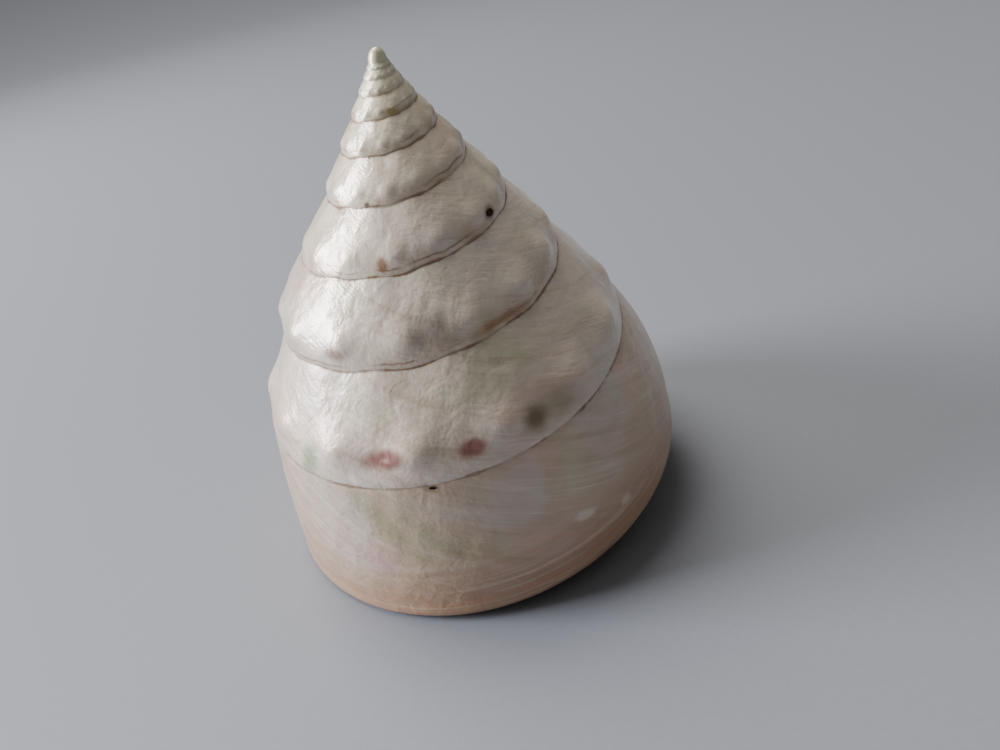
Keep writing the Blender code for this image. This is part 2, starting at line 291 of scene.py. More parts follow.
def stand(radius, turn, depth):
    """A point of the shell, as it stands on the floor at z = 0."""
    angle = angle_of(turn)
    leftward = max(0.0, -math.cos(angle)) ** 2 * min(radius / SIDE_SWELL_RADIUS, 1.0)
    radius += SIDE_SWELL * leftward * math.exp(-((depth - SIDE_SWELL_DEPTH) / SIDE_SWELL_SPREAD) ** 2)
    drift = TIP_DRIFT * math.exp(-max(depth, 0.0) / TIP_DRIFT_FADE)
    upright = Vector((radius * math.cos(angle) + drift, -radius * math.sin(angle), FLOOR_DEPTH - depth))
    leaned = Matrix.Rotation(LEAN, 3, "X") @ upright
    leaned += Vector((AXIS_FOOT[0], AXIS_FOOT[1], 0.0))
    leaned.z = max(leaned.z, 0.0)
    return leaned * MM


def slant(turn, share):
    """The growth lines lean back, so rows near the lip are taken from this much earlier."""
    start = smooth(share / SLANT_FULL_SHARE)
    inward = smooth((share - SLANT_INNER_SHARE) / SLANT_INNER_SPAN)
    near_lip = smooth((turn - (LIP_TURN - SLANT_SPAN)) / SLANT_SPAN)
    return LIP_SLANT * start * (1.0 - inward) * near_lip


def whorl_width(turn):
    """Millimetres down the flank from seam to seam."""
    top = suture(turn)
    low = flank(turn, 1.0)
    return math.hypot(low[0] - top[0], low[1] - top[1])


def relief(turn, share, width):
    """How far the surface stands out from the plain coil."""
    wave = (0.5 - 0.5 * math.cos(2 * math.pi * KNOBS_PER_TURN * turn)) ** KNOB_POINT
    slow, fast = KNOB_UNEVEN_WAVES
    uneven = 1.0 + KNOB_UNEVEN * math.sin(slow * turn + 1.0) * math.cos(fast * turn)
    across = math.exp(-((share - KNOB_PLACE) / KNOB_SPREAD) ** 2)
    fade = 1.0 - smooth((turn - LAST_KNOB_TURN) / KNOB_FADE)
    height = KNOB_HEIGHT * suture(turn + 0.5)[0] * wave * uneven * across * fade
    groove = math.exp(-(share * width / SEAM_GROOVE_WIDTH) ** 2)
    if turn <= LIP_TURN - 1.0:
        groove += math.exp(-((1.0 - share) * width / SEAM_GROOVE_WIDTH) ** 2)
    height -= SEAM_GROOVE_DEPTH * min(size_at(turn) * SEAM_GROOVE_GAIN, 1.0) * groove
    lines = sum(math.sin(waves * turn - lean * share + shift) for waves, lean, shift in WRINKLES)
    quiet = smooth(share / WRINKLE_SEAM_GAP)
    if turn < LIP_TURN - 1.0:
        quiet *= 1.0 - smooth((share - 1.0 + WRINKLE_LOW_GAP) / WRINKLE_LOW_GAP)
    return height + 0.5 * WRINKLE_HEIGHT * lines * quiet * min(size_at(turn), 1.0)


def seam_wave(turn):
    """How far the seam hangs below the plain coil."""
    wave = -0.5 * math.cos(2 * math.pi * KNOBS_PER_TURN * turn + SEAM_WAVE_SHIFT)
    drift = sum(size * math.sin(waves * turn + shift) for size, waves, shift in SEAM_DRIFTS)
    fade = 1.0 - smooth((turn - SEAM_WAVE_END) / SEAM_WAVE_FADE)
    return SEAM_WAVE * suture(turn)[0] * (wave + drift) * fade


def surface(turn, share):
    """A point of the outside."""
    if share >= 1.0 and turn <= LIP_TURN - 1.0 + 1e-6:
        turn, share = turn + 1.0, 0.0
    at = turn - slant(turn, share)
    radius, depth = outline(at, share)
    if share <= 1.0:
        radius += relief(turn, share, whorl_width(turn))
        depth += seam_wave(turn) * (1.0 - share) ** 2 + seam_wave(turn + 1.0) * share ** 2
    return stand(radius, at, depth)


def roof_gap(turn):
    """How far the hollow's roof is below the whorl above."""
    opening = smooth((turn - (LIP_TURN - ROOF_OPENING)) / ROOF_OPENING_SPAN)
    leaving = smooth((turn - (LIP_TURN - ROOF_LEAVING)) / MOUTH_CLEAR)
    gap = blend(ROOF_GAP * size_at(turn), -MOUTH_BITE, opening)
    return blend(gap, ROOF_GAP_BEYOND, leaving)


def hollow_section(turn):
    """Corners of the hollow at this turn, in the plane of the axis, going round."""
    size = size_at(turn)
    top_depth = suture(turn)[1]
    rim_radius, rim_depth = rim(turn)
    foot_depth = foot(turn)[1]
    above_rim = rim(turn - 1.0)
    above_foot = foot(turn - 1.0)
    wall = WALL * min(size, LARGEST_WALL)
    roof = above_foot[1] + roof_gap(turn)

    def inside(depth):
        share = (depth - top_depth) / (flank(turn, 1.0)[1] - top_depth)
        return flank(turn, min(share, 1.0))[0] - SIDE_WALLS * wall

    corner = blend(above_rim[1], roof, HOLLOW_SHOULDER)
    middle = 0.5 * (roof + rim_depth)
    pillar = PILLAR_RADIUS * size
    return [(inside(corner), corner),
            (inside(middle), middle),
            (rim_radius - RIM_WALLS_IN * wall, rim_depth - RIM_WALLS_UP * wall),
            (HOLLOW_FOOT * rim_radius, foot_depth - FOOT_WALLS * wall),
            (pillar + PILLAR_ROUND, foot_depth - PILLAR_WALLS * wall),
            (pillar, roof + PILLAR_ROUND * size),
            (0.5 * above_foot[0] + 0.5 * pillar, roof),
            (above_foot[0], roof)]


def rounded(corners, place):
    """The point at this place, from 0 to 1, of a smooth closed curve through the corners."""
    total = len(corners)
    place = (place % 1.0) * total
    start = int(place)
    before, here, after, beyond = (corners[(start + k) % total] for k in (-1, 0, 1, 2))
    point = []
    for a, b, c, d in zip(before, here, after, beyond):
        slope_here = CORNER_EASE * (c - a)
        slope_after = CORNER_EASE * (d - b)
        point.append(bezier([(b,), (b + slope_here / 3,), (c - slope_after / 3,), (c,)], place - start)[0])
    return point


# Modelling

def rest():
    """Leaves edit mode with nothing selected."""
    if bpy.context.object and bpy.context.object.mode == "EDIT":
        bpy.ops.object.mode_set(mode="OBJECT")
    bpy.ops.object.select_all(action="DESELECT")


def pick(piece):
    rest()
    piece.select_set(True)
    bpy.context.view_layer.objects.active = piece


def bent_grid(name, columns, rows, place, coil_of):
    """A flat grid bent so that each point goes where place says. coil_of gives turn and share."""
    rest()
    bpy.ops.mesh.primitive_grid_add(x_subdivisions=columns, y_subdivisions=rows, size=1.0)
    piece = bpy.context.active_object
    piece.name = name
    mesh = piece.data
    coil = mesh.uv_layers.active
    coil.name = "coil"
    seams = mesh.uv_layers.new(name="seams")
    coordinates = []
    for vertex in mesh.vertices:
        column = round((vertex.co.x + 0.5) * columns)
        row = round((vertex.co.y + 0.5) * rows)
        turn, share = coil_of(column, row)
        below = share * whorl_width(turn) if share <= 1.0 else FAR_FROM_SEAMS
        above = (1.0 - share) * whorl_width(turn) if turn <= LIP_TURN - 1.0 + 1e-6 else FAR_FROM_SEAMS
        coordinates.append(((turn, share), (below, above)))
        vertex.co = place(column, row)
    for loop in mesh.loops:
        coil.data[loop.index].uv, seams.data[loop.index].uv = coordinates[loop.vertex_index]
    return piece


def eased(share):
    """Crowds rows towards both seams."""
    return 0.5 - 0.5 * math.cos(math.pi * share)


def add_flanks():
    """All whorls from seam to seam, and the rounded tip."""
    def coil_of(column, row):
        return LIP_TURN - TURNS + column / COLUMNS, eased(row / FLANK_ROWS)

    def place(column, row):
        return surface(*coil_of(column, row))

    whorls = bent_grid("shell_outside", round(TURNS * COLUMNS), FLANK_ROWS, place, coil_of)
    pick(whorls)
    bpy.ops.object.mode_set(mode="EDIT")
    bpy.ops.mesh.select_all(action="SELECT")
    bpy.ops.mesh.remove_doubles(threshold=MERGE)
    tip = stand(0.0, 0.0, TIP_DEPTH)
    mesh = bmesh.from_edit_mesh(whorls.data)
    bpy.ops.mesh.select_all(action="DESELECT")
    for edge in mesh.edges:
        edge.select = edge.is_boundary and all(vert.co.z > tip.z - DOME_REACH * MM for vert in edge.verts)
    mesh.select_flush_mode()
    bmesh.update_edit_mesh(whorls.data)
    sides = len(whorls.data.loops)
    for ring in range(1, DOME_RINGS + 1):
        bpy.ops.mesh.extrude_edges_move()
        mesh = bmesh.from_edit_mesh(whorls.data)
        lifted = 0.5 * math.pi * ring / (DOME_RINGS + 1)
        before = 0.5 * math.pi * (ring - 1) / (DOME_RINGS + 1)
        for vert in mesh.verts:
            if vert.select:
                vert.co.xy = tip.xy + (vert.co.xy - tip.xy) * math.cos(lifted) / math.cos(before)
                left = (1.0 - math.sin(lifted)) / (1.0 - math.sin(before))
                vert.co.z = tip.z + (vert.co.z - tip.z) * left
        bmesh.update_edit_mesh(whorls.data)
    bpy.ops.mesh.edge_face_add()
    bpy.ops.mesh.poke()
    rest()
    coil = whorls.data.uv_layers["coil"].data
    seams = whorls.data.uv_layers["seams"].data
    for loop in whorls.data.loops[sides:]:
        coil[loop.index].uv = (LIP_TURN - TURNS - 0.1, 0.5)
        seams[loop.index].uv = (FAR_FROM_SEAMS, FAR_FROM_SEAMS)
    return whorls


def add_base():
    """The last whorl's rim and underside, with the pillar's end closed."""
    def coil_of(column, row):
        return LIP_TURN - 1.0 + column / COLUMNS, 1.0 + row / BASE_ROWS

    def place(column, row):
        turn, share = coil_of(column, row)
        if row == 0 and column == 0:
            return surface(LIP_TURN, 0.0)
        at = turn - slant(turn, share)
        radius, depth = outline(at, share)
        return stand(radius + (relief(turn, 1.0, whorl_width(turn)) if row == 0 else 0.0), at, depth)

    base = bent_grid("shell_base", COLUMNS, BASE_ROWS, place, coil_of)
    pick(base)
    bpy.ops.object.mode_set(mode="EDIT")
    bpy.ops.mesh.select_mode(type="VERT")
    bpy.ops.mesh.select_all(action="DESELECT")
    mesh = bmesh.from_edit_mesh(base.data)
    coil = mesh.loops.layers.uv["coil"]
    for vert in mesh.verts:
        vert.select = all(loop[coil].uv.y > 2.0 - 1e-4 for loop in vert.link_loops)
    mesh.select_flush(True)
    bmesh.update_edit_mesh(base.data)
    bpy.ops.mesh.edge_face_add()
    bpy.ops.mesh.poke()
    rest()
    return base


def fractions(chain):
    """How far along the chain each of its vertices is, from 0 to 1."""
    lengths = [0.0]
    for before, after in zip(chain, chain[1:]):
        lengths.append(lengths[-1] + (after.co - before.co).length)
    return [length / lengths[-1] for length in lengths]


def close_mouth(body):
    """A face ruled from the lip to the whorl above, which the hollow then cuts through."""
    pick(body)
    bpy.ops.object.mode_set(mode="EDIT")
    mesh = bmesh.from_edit_mesh(body.data)
    coil = mesh.loops.layers.uv["coil"]
    lip = {}
    above = {}
    for edge in mesh.edges:
        if not edge.is_boundary:
            continue
        for vert in edge.verts:
            for loop in vert.link_loops:
                turn, share = loop[coil].uv
                if turn > LIP_TURN - 1e-4:
                    lip[round(share, 4)] = vert
                elif abs(turn - LIP_TURN + 1.0) < 1e-4 and share > 1.0 - 1e-4:
                    above[round(share, 4)] = vert
    lip = [lip[share] for share in sorted(lip)]
    above = [above[share] for share in sorted(above)]
    lip_along, above_along = fractions(lip), fractions(above)
    mesh.faces.new([lip[0], lip[1], above[1]])
    i = j = 1
    while i < len(lip) - 1 or j < len(above) - 1:
        if j == len(above) - 1 or (i < len(lip) - 1 and lip_along[i + 1] < above_along[j + 1]):
            mesh.faces.new([lip[i], lip[i + 1], above[j]])
            i += 1
        else:
            mesh.faces.new([lip[i], above[j + 1], above[j]])
            j += 1
    bmesh.update_edit_mesh(body.data)
    bpy.ops.mesh.select_all(action="SELECT")
    bpy.ops.mesh.normals_make_consistent(inside=False)
    rest()


def add_hollow():
    """The space behind the mouth, as a closed body."""
    start = LIP_TURN - MOUTH_REACH
    count = round((MOUTH_REACH + MOUTH_CLEAR) * HOLLOW_COLUMNS)

    def coil_of(column, row):
        return start + (MOUTH_REACH + MOUTH_CLEAR) * column / count, row / HOLLOW_POINTS

    def place(column, row):
        turn, around = coil_of(column, row)
        corners = hollow_section(turn)
        middle = [sum(values) / len(corners) for values in zip(*corners)]
        narrow = blend(HOLLOW_END, 1.0, math.sqrt(smooth(column / (HOLLOW_TAPER * HOLLOW_COLUMNS))))
        corners = [tuple(blend(m, c, narrow) for m, c in zip(middle, corner)) for corner in corners]
        radius, depth = rounded(corners, around)
        return stand(radius, turn, depth)

    hollow = bent_grid("shell_hollow", count, HOLLOW_POINTS, place, coil_of)
    pick(hollow)
    bpy.ops.object.mode_set(mode="EDIT")
    bpy.ops.mesh.select_mode(type="EDGE")
    bpy.ops.mesh.select_all(action="SELECT")
    bpy.ops.mesh.remove_doubles(threshold=MERGE)
    bpy.ops.mesh.select_all(action="DESELECT")
    mesh = bmesh.from_edit_mesh(hollow.data)
    for edge in mesh.edges:
        edge.select = edge.is_boundary
    mesh.select_flush_mode()
    bmesh.update_edit_mesh(hollow.data)
    bpy.ops.mesh.edge_face_add()
    bpy.ops.mesh.select_all(action="SELECT")
    bpy.ops.mesh.normals_make_consistent(inside=False)
    rest()
    return hollow


def add_pit(name, turn, share, size, depth):
    """A pebble sunk into the surface, which cuts a pit there."""
    middle = surface(turn, share)
    inward = (stand(0.0, turn, outline(turn, share)[1] - PIT_AIM) - middle).normalized()
    rest()
    bpy.ops.mesh.primitive_ico_sphere_add(subdivisions=4, radius=1.0)
    pit = bpy.context.active_object
    pit.name = name
    pick(pit)
    bpy.ops.object.mode_set(mode="EDIT")
    bpy.ops.mesh.select_all(action="SELECT")
    bpy.ops.transform.resize(value=(0.5 * size[0] * MM, 0.5 * size[1] * MM, depth * MM))
    bpy.ops.transform.vertex_random(offset=PIT_ROUGHNESS * MM, seed=3)
    rest()
    turn_to = inward.to_track_quat("Z", "Y").to_matrix().to_4x4()
    pit.data.transform(Matrix.Translation(middle) @ turn_to)
    return pit


def cut_out(body, tools):
    """Cuts the tools out of the body. The cut faces take the tools' materials."""
    pick(body)
    for tool in tools:
        cut = body.modifiers.new(tool.name, "BOOLEAN")
        cut.operation = "DIFFERENCE"
        cut.solver = "EXACT"
        cut.material_mode = "TRANSFER"
        cut.object = tool
        bpy.ops.object.modifier_apply(modifier=cut.name)
    rest()
    for tool in tools:
        bpy.data.objects.remove(tool, do_unlink=True)


# Materials

# Kinds of node that the patterns use, and the sockets of a Mix node that mixes colours
NOISE = "ShaderNodeTexNoise"
RANGE = "ShaderNodeMapRange"
MATHS = "ShaderNodeMath"
VECTOR = "ShaderNodeVectorMath"
MAPPING = "ShaderNodeMapping"
BUMP = "ShaderNodeBump"
MIX = "ShaderNodeMix"
MIX_SHARE, MIX_A, MIX_B, MIX_OUT = 0, 6, 7, 2
EASED = {"interpolation_type": "SMOOTHSTEP"}


def linear(code):
    """An sRGB hex colour as linear red, green, blue and alpha."""
    values = [int(code[i:i + 2], 16) / 255.0 for i in (1, 3, 5)]
    return [v / 12.92 if v <= 0.04045 else ((v + 0.055) / 1.055) ** 2.4 for v in values] + [1.0]


def add_node(tree, kind, settings=None, links=None, output=0):
    """Adds a node with its settings and links, by name or socket number, and gives one output."""
    node = tree.nodes.new(kind)
    for name, value in (settings or {}).items():
        if isinstance(name, str) and hasattr(node, name):
            setattr(node, name, value)
        else:
            node.inputs[name].default_value = value
    for name, source in (links or {}).items():
        tree.links.new(source, node.inputs[name])
    return node.outputs[output]


def new_material(name):
    material = bpy.data.materials.new(name)
    material.use_nodes = True
    return material, material.node_tree, material.node_tree.nodes["Principled BSDF"].inputs


class Coil:
    """What the patterns read: where a point is on the coil, and its millimetres to the seams."""

    def __init__(self, tree):
        self.tree = tree
        self.place = add_node(tree, "ShaderNodeTexCoord", output="Object")
        # Left to right across the shell; the ochre coat reads it to paint shade on the right side
        self.rightward = add_node(tree, "ShaderNodeSeparateXYZ", links={0: self.place})
        self.both = add_node(tree, "ShaderNodeUVMap", {"uv_map": "coil"})
        coil = add_node(tree, "ShaderNodeSeparateXYZ", links={0: self.both}).node
        self.turn, self.share = coil.outputs[0], coil.outputs[1]
        seams = add_node(tree, "ShaderNodeUVMap", {"uv_map": "seams"})
        seams = add_node(tree, "ShaderNodeSeparateXYZ", links={0: seams}).node
        self.below, self.above = seams.outputs[0], seams.outputs[1]
        self.ragged = add_node(tree, NOISE, {"Scale": 420.0, "Detail": 3.0}, {"Vector": self.place})
        self.wobble = add_node(tree, MATHS, {"operation": "MULTIPLY_ADD", 1: 0.9, 2: -0.45}, {0: self.ragged})

    def stain_and_highlight(self, turn, share, size, lean, soft, most):
        """How much a stain or a painted highlight of this size in millimetres covers: an oval with an uneven
        edge.
        """
        tree = self.tree
        around = 2 * math.pi * outline(turn, share)[0]
        off = add_node(tree, VECTOR, {"operation": "SUBTRACT", 1: (turn, share, 0.0)}, {0: self.both})
        flat = add_node(tree, VECTOR, {"operation": "MULTIPLY", 1: (around, whorl_width(turn), 0.0)},
                        {0: off})
        turned = add_node(tree, MAPPING, {"Rotation": (0.0, 0.0, math.radians(lean))}, {0: flat})
        oval = add_node(tree, VECTOR, {"operation": "MULTIPLY", 1: (2.0 / size[0], 2.0 / size[1], 0.0)},
                        {0: turned})
        away = add_node(tree, VECTOR, {"operation": "LENGTH"}, {0: oval}, "Value")
        edge = add_node(tree, MATHS, {"operation": "ADD"}, {0: away, 1: self.wobble})
        return add_node(tree, RANGE, {**EASED, 1: 1.0 + soft, 2: 1.0 - soft, 4: most}, {0: edge})


# Stains and spots, and some painted highlights (the pale ovals and the pink glint): colour, turn and share on
# the coil, size in millimetres, lean, softness, cover
STAINS_AND_HIGHLIGHTS = (
    # Maroon ovals with a pale middle, and the olive-brown one right of them with its smudge
    ("#844640", -0.938, 0.73, (6.9, 3.0), -6.0, 0.55, 0.88),
    ("#c3a095", -0.940, 0.74, (1.4, 0.7), 0.0, 0.60, 0.55),
    ("#85453f", -1.007, 0.78, (4.6, 2.8), -4.0, 0.60, 0.85),
    ("#8b8560", -1.085, 0.79, (7.4, 4.4), 26.0, 0.80, 0.55),
    ("#75603a", -1.060, 0.78, (4.2, 3.6), 20.0, 0.75, 0.90),
    # Green at the left, between two knobs
    ("#7d8e5f", -0.866, 0.84, (3.6, 5.2), 15.0, 0.75, 0.85),
    # Brown marks on the upper whorls, each in the dip between two knobs
    ("#8a5a3c", -2.947, 0.83, (1.7, 2.4), 0.0, 0.60, 0.85),
    ("#5a4030", -3.917, 0.95, (1.0, 1.0), 0.0, 0.50, 0.85),
    ("#b3923f", -6.026, 0.86, (2.0, 1.0), 15.0, 0.60, 0.85),
    ("#8f6650", -1.888, 0.78, (3.2, 2.2), 0.0, 0.60, 0.75),
    ("#5c4430", -3.136, 0.85, (2.4, 1.9), 0.0, 0.60, 0.75),
    # Brown round the chip in the last seam
    ("#8a6b50", 0.027, 0.02, (2.2, 1.5), 0.0, 0.60, 0.70),
    # A worn grey patch
    ("#857873", -1.997, 0.68, (6.8, 4.8), 20.0, 0.80, 0.60),
    # Painted highlights: pale ovals at the right, near the rim
    ("#e6d9c4", -0.072, 0.68, (4.4, 1.8), 18.0, 0.50, 0.75),
    ("#e6d9c4", -0.107, 0.85, (2.2, 1.7), 18.0, 0.50, 0.65),
    # An orange-brown streak along the seam, and one grey-brown beside it
    ("#9b6238", -2.077, 0.92, (9.5, 1.3), 3.0, 0.70, 0.70),
    # Olive streaks that run down across the last whorl
    ("#8f8f5e", 0.072, 0.25, (3.2, 18.0), -38.0, 0.90, 0.50),
    ("#8f8f62", 0.030, 0.45, (2.6, 12.0), -42.0, 0.90, 0.45),
    ("#a39a6a", 0.000, 0.60, (2.2, 14.0), -48.0, 0.90, 0.40),
    # Brown scars across the seams at the left
    ("#96765c", -2.868, 0.15, (0.9, 4.6), -28.0, 0.80, 0.60),
    ("#a07f66", -2.850, 0.03, (3.0, 1.3), 0.0, 0.80, 0.50),
    ("#96765c", -1.850, 0.10, (0.9, 3.8), -10.0, 0.80, 0.55),
    # A pink glint
    ("#d7a9b0", 0.082, 0.60, (6.5, 4.4), 30.0, 0.90, 0.45),
)


def polished_nacre():
    """Mother-of-pearl, ground and polished: silvery cream, soft wide shine, faint pink and green."""
    material, tree, shader = new_material("polished_nacre")
    coil = Coil(tree)
    coats = []

    # From ivory at the tip to silvery cream, and then warm beige on the last whorl
    along = add_node(tree, RANGE, {1: -8.6, 2: 0.7}, {0: coil.turn})
    colour = add_node(tree, "ShaderNodeValToRGB", links={0: along})
    stops = ((0.0, "#fbf6d4"), (0.25, "#faeecd"), (0.45, "#f7e8cf"), (0.64, "#efdfcc"),
             (0.79, "#dccdbe"), (0.89, "#cbb39c"), (1.0, "#c3a689"))
    ramp = colour.node.color_ramp
    while len(ramp.elements) < len(stops):
        ramp.elements.new(0.5)
    for element, (place, code) in zip(ramp.elements, stops):
        element.position = place
        element.color = linear(code)

    # Broad drifts of pink, green and blue-grey, 10 to 17 mm across
    for code, scale, stretch, low, high, most in (
            ("#dfb7a8", 70.0, (1.0, 1.0, 1.0), 0.50, 0.68, 0.45),
            ("#c0c5a3", 95.0, (1.0, 1.3, 0.8), 0.54, 0.70, 0.45),
            ("#cdcecf", 60.0, (1.2, 0.9, 1.0), 0.50, 0.70, 0.28)):
        spread = add_node(tree, MAPPING, {"Scale": stretch}, {0: coil.place})
        drift = add_node(tree, NOISE, {"Scale": scale, "Detail": 2.0, "Distortion": 0.7}, {0: spread})
        coats.append((code, add_node(tree, RANGE, {**EASED, 1: low, 2: high, 4: most}, {0: drift})))

    # Growth lines that lean back towards the base: bands of about 6 mm, and lines of 1.5 mm
    leaning = add_node(tree, VECTOR, {"operation": "DOT_PRODUCT", 1: (1.0, 0.20, 0.0)},
                       {0: coil.both}, "Value")
    drawn_out = add_node(tree, MATHS, {"operation": "MULTIPLY", 1: 0.02}, {0: coil.share})
    grown = add_node(tree, "ShaderNodeCombineXYZ", links={0: leaning, 1: drawn_out})
    bands = add_node(tree, NOISE, {"Scale": 40.0, "Detail": 3.0, "Roughness": 0.6}, {0: grown})
    lines = add_node(tree, NOISE, {"Scale": 150.0, "Detail": 3.0, "Roughness": 0.6}, {0: grown})
    grown_old = add_node(tree, RANGE, {**EASED, 1: -4.0, 2: -0.8, 3: 0.45}, {0: coil.turn})
    for pattern, code, low, high, most in (
            (bands, "#ab9272", 0.54, 0.70, 0.40), (bands, "#e2d6c9", 0.47, 0.33, 0.45),
            (lines, "#9c8670", 0.56, 0.74, 0.28), (lines, "#eadfd2", 0.45, 0.28, 0.35)):
        shown = add_node(tree, RANGE, {**EASED, 1: low, 2: high, 4: most}, {0: pattern})
        coats.append((code, add_node(tree, MATHS, {"operation": "MULTIPLY"}, {0: shown, 1: grown_old})))

    # Peach and cream layers along the rim of the last whorl, 2 to 3 mm wide, over a peach-tan tint that grows
    # towards the bottom of the last whorl
    last = add_node(tree, RANGE, {**EASED, 1: -0.42, 2: -0.36}, {0: coil.turn})
    low_down = add_node(tree, RANGE, {**EASED, 1: 0.40, 2: 1.10}, {0: coil.share})
    low_last = add_node(tree, MATHS, {"operation": "MULTIPLY"}, {0: last, 1: low_down})
    coats.append(("#b08461", add_node(tree, MATHS, {"operation": "MULTIPLY", 1: 0.75}, {0: low_last})))
    layered = add_node(tree, MAPPING, {"Scale": (3.0, 13.0, 1.0), "Rotation": (0.0, 0.0, 0.05)},
                       {0: coil.both})
    layers = add_node(tree, NOISE, {"Scale": 1.0, "Detail": 3.0, "Roughness": 0.6}, {0: layered})
    for code, low, high, most in (("#c98f6c", 0.52, 0.66, 0.6), ("#e4d3bb", 0.46, 0.32, 0.6)):
        shown = add_node(tree, RANGE, {**EASED, 1: low, 2: high, 4: most}, {0: layers})
        coats.append((code, add_node(tree, MATHS, {"operation": "MULTIPLY"}, {0: shown, 1: low_last})))

    # Ochre above the seams of the upper whorls, with painted shade: the tint is laid on mostly on the right,
    # the side turned away from the light
    upper = add_node(tree, RANGE, {**EASED, 1: -1.2, 2: -1.9}, {0: coil.turn})
    # Painted shade: this mask puts more of the ochre tint on the right side, away from the window
    rightward = add_node(tree, RANGE, {**EASED, 1: -0.010, 2: 0.012, 3: 0.30}, {0: coil.rightward})
    patches = add_node(tree, NOISE, {"Scale": 200.0, "Detail": 2.0}, {0: coil.place})
    patches = add_node(tree, RANGE, {**EASED, 1: 0.30, 2: 0.62, 3: 0.35}, {0: patches})
    near = add_node(tree, RANGE, {**EASED, 1: 0.62, 2: 0.98, 4: 0.70}, {0: coil.share})
    for part in (upper, rightward, patches):
        near = add_node(tree, MATHS, {"operation": "MULTIPLY"}, {0: near, 1: part})
    coats.append(("#a67d4c", near))

    # The seams themselves: thin brown lines, fainter in places, and here and there double
    faint = add_node(tree, NOISE, {"Scale": 150.0, "Detail": 2.0}, {0: coil.place})
    faint = add_node(tree, RANGE, {**EASED, 1: 0.30, 2: 0.58, 3: 0.30}, {0: faint})
    young = add_node(tree, RANGE, {**EASED, 1: -7.6, 2: -4.2, 3: 0.30}, {0: coil.turn})
    faint = add_node(tree, MATHS, {"operation": "MULTIPLY"}, {0: faint, 1: young})
    doubled = add_node(tree, NOISE, {"Scale": 120.0, "Detail": 1.0}, {0: coil.place})
    doubled = add_node(tree, RANGE, {**EASED, 1: 0.46, 2: 0.58, 4: 0.65}, {0: doubled})
    doubled = add_node(tree, MATHS, {"operation": "MULTIPLY"}, {0: doubled, 1: young})
    doubled = add_node(tree, MATHS, {"operation": "MULTIPLY"}, {0: doubled, 1: upper})
    for distance, middle, width, code, cover in (
            (coil.below, 0.0, 0.34, "#977860", faint), (coil.above, 0.0, 0.34, "#977860", faint),
            (coil.above, 0.95, 0.24, "#8a6249", doubled)):
        off = add_node(tree, MATHS, {"operation": "ADD"}, {0: distance, 1: coil.wobble})
        off = add_node(tree, MATHS, {"operation": "SUBTRACT", 1: middle}, {0: off})
        off = add_node(tree, MATHS, {"operation": "ABSOLUTE"}, {0: off})
        line = add_node(tree, RANGE, {**EASED, 1: width, 2: 0.05}, {0: off})
        coats.append((code, add_node(tree, MATHS, {"operation": "MULTIPLY"}, {0: line, 1: cover})))

    for code, *mark in STAINS_AND_HIGHLIGHTS:
        coats.append((code, coil.stain_and_highlight(*mark)))
    for code, cover in coats:
        colour = add_node(tree, MIX, {"data_type": "RGBA", MIX_B: linear(code)},
                          {MIX_SHARE: cover, MIX_A: colour}, MIX_OUT)
    tree.links.new(colour, shader["Base Color"])

    # Shine: clear on the upper whorls, and hazier on the last two, where the polish has worn
    haze = add_node(tree, NOISE, {"Scale": 220.0, "Detail": 3.0}, {0: coil.place})
    haze = add_node(tree, RANGE, {**EASED, 1: 0.3, 2: 0.7, 3: 0.24, 4: 0.40}, {0: haze})
    worn = add_node(tree, RANGE, {**EASED, 1: -2.2, 2: -0.6, 4: 0.14}, {0: coil.turn})
    dull = add_node(tree, MATHS, {"operation": "ADD"}, {0: haze, 1: worn})
    tree.links.new(dull, shader["Roughness"])
    shader["IOR"].default_value = 1.6
    shader["Metallic"].default_value = 0.18
    shader["Coat Weight"].default_value = 0.6
    shader["Coat Roughness"].default_value = 0.17
    shader["Coat IOR"].default_value = 1.5

    # Low waves of 3 mm, growth lines and a grain of 0.5 mm break up the reflections
    waves = add_node(tree, NOISE, {"Scale": 330.0, "Detail": 2.0, "Distortion": 0.4}, {0: coil.place})
    grain = add_node(tree, NOISE, {"Scale": 1900.0, "Detail": 2.0}, {0: coil.place})
    shape = None
    for height, strength, distance in ((waves, 0.42, 0.0006), (lines, 0.22, 0.0003),
                                       (grain, 0.35, 0.00012)):
        shape = add_node(tree, BUMP, {"Strength": strength, "Distance": distance},
                         {"Height": height, **({"Normal": shape} if shape else {})})
    tree.links.new(shape, shader["Normal"])
    tree.links.new(shape, shader["Coat Normal"])
    return material


def inner_nacre():
    """Unpolished nacre inside the mouth: silver, with clear pink and green."""
    material, tree, shader = new_material("inner_nacre")
    place = add_node(tree, "ShaderNodeTexCoord", output="Object")
    colour = None
    for code, scale in (("#dcb9bb", 80.0), ("#b4cbbd", 110.0)):
        drift = add_node(tree, NOISE, {"Scale": scale, "Detail": 2.0, "Distortion": 1.0}, {0: place})
        cover = add_node(tree, RANGE, {**EASED, 1: 0.5, 2: 0.7, 4: 0.6}, {0: drift})
        colour = add_node(tree, MIX, {"data_type": "RGBA", MIX_A: linear("#cfcac2"), MIX_B: linear(code)},
                          {MIX_SHARE: cover, **({MIX_A: colour} if colour else {})}, MIX_OUT)
    tree.links.new(colour, shader["Base Color"])
    shader["IOR"].default_value = 1.6
    shader["Metallic"].default_value = 0.35
    shader["Roughness"].default_value = 0.30
    waves = add_node(tree, NOISE, {"Scale": 260.0, "Detail": 2.0}, {0: place})
    shape = add_node(tree, BUMP, {"Strength": 0.25, "Distance": 0.0005}, {"Height": waves})
    tree.links.new(shape, shader["Normal"])
    return material


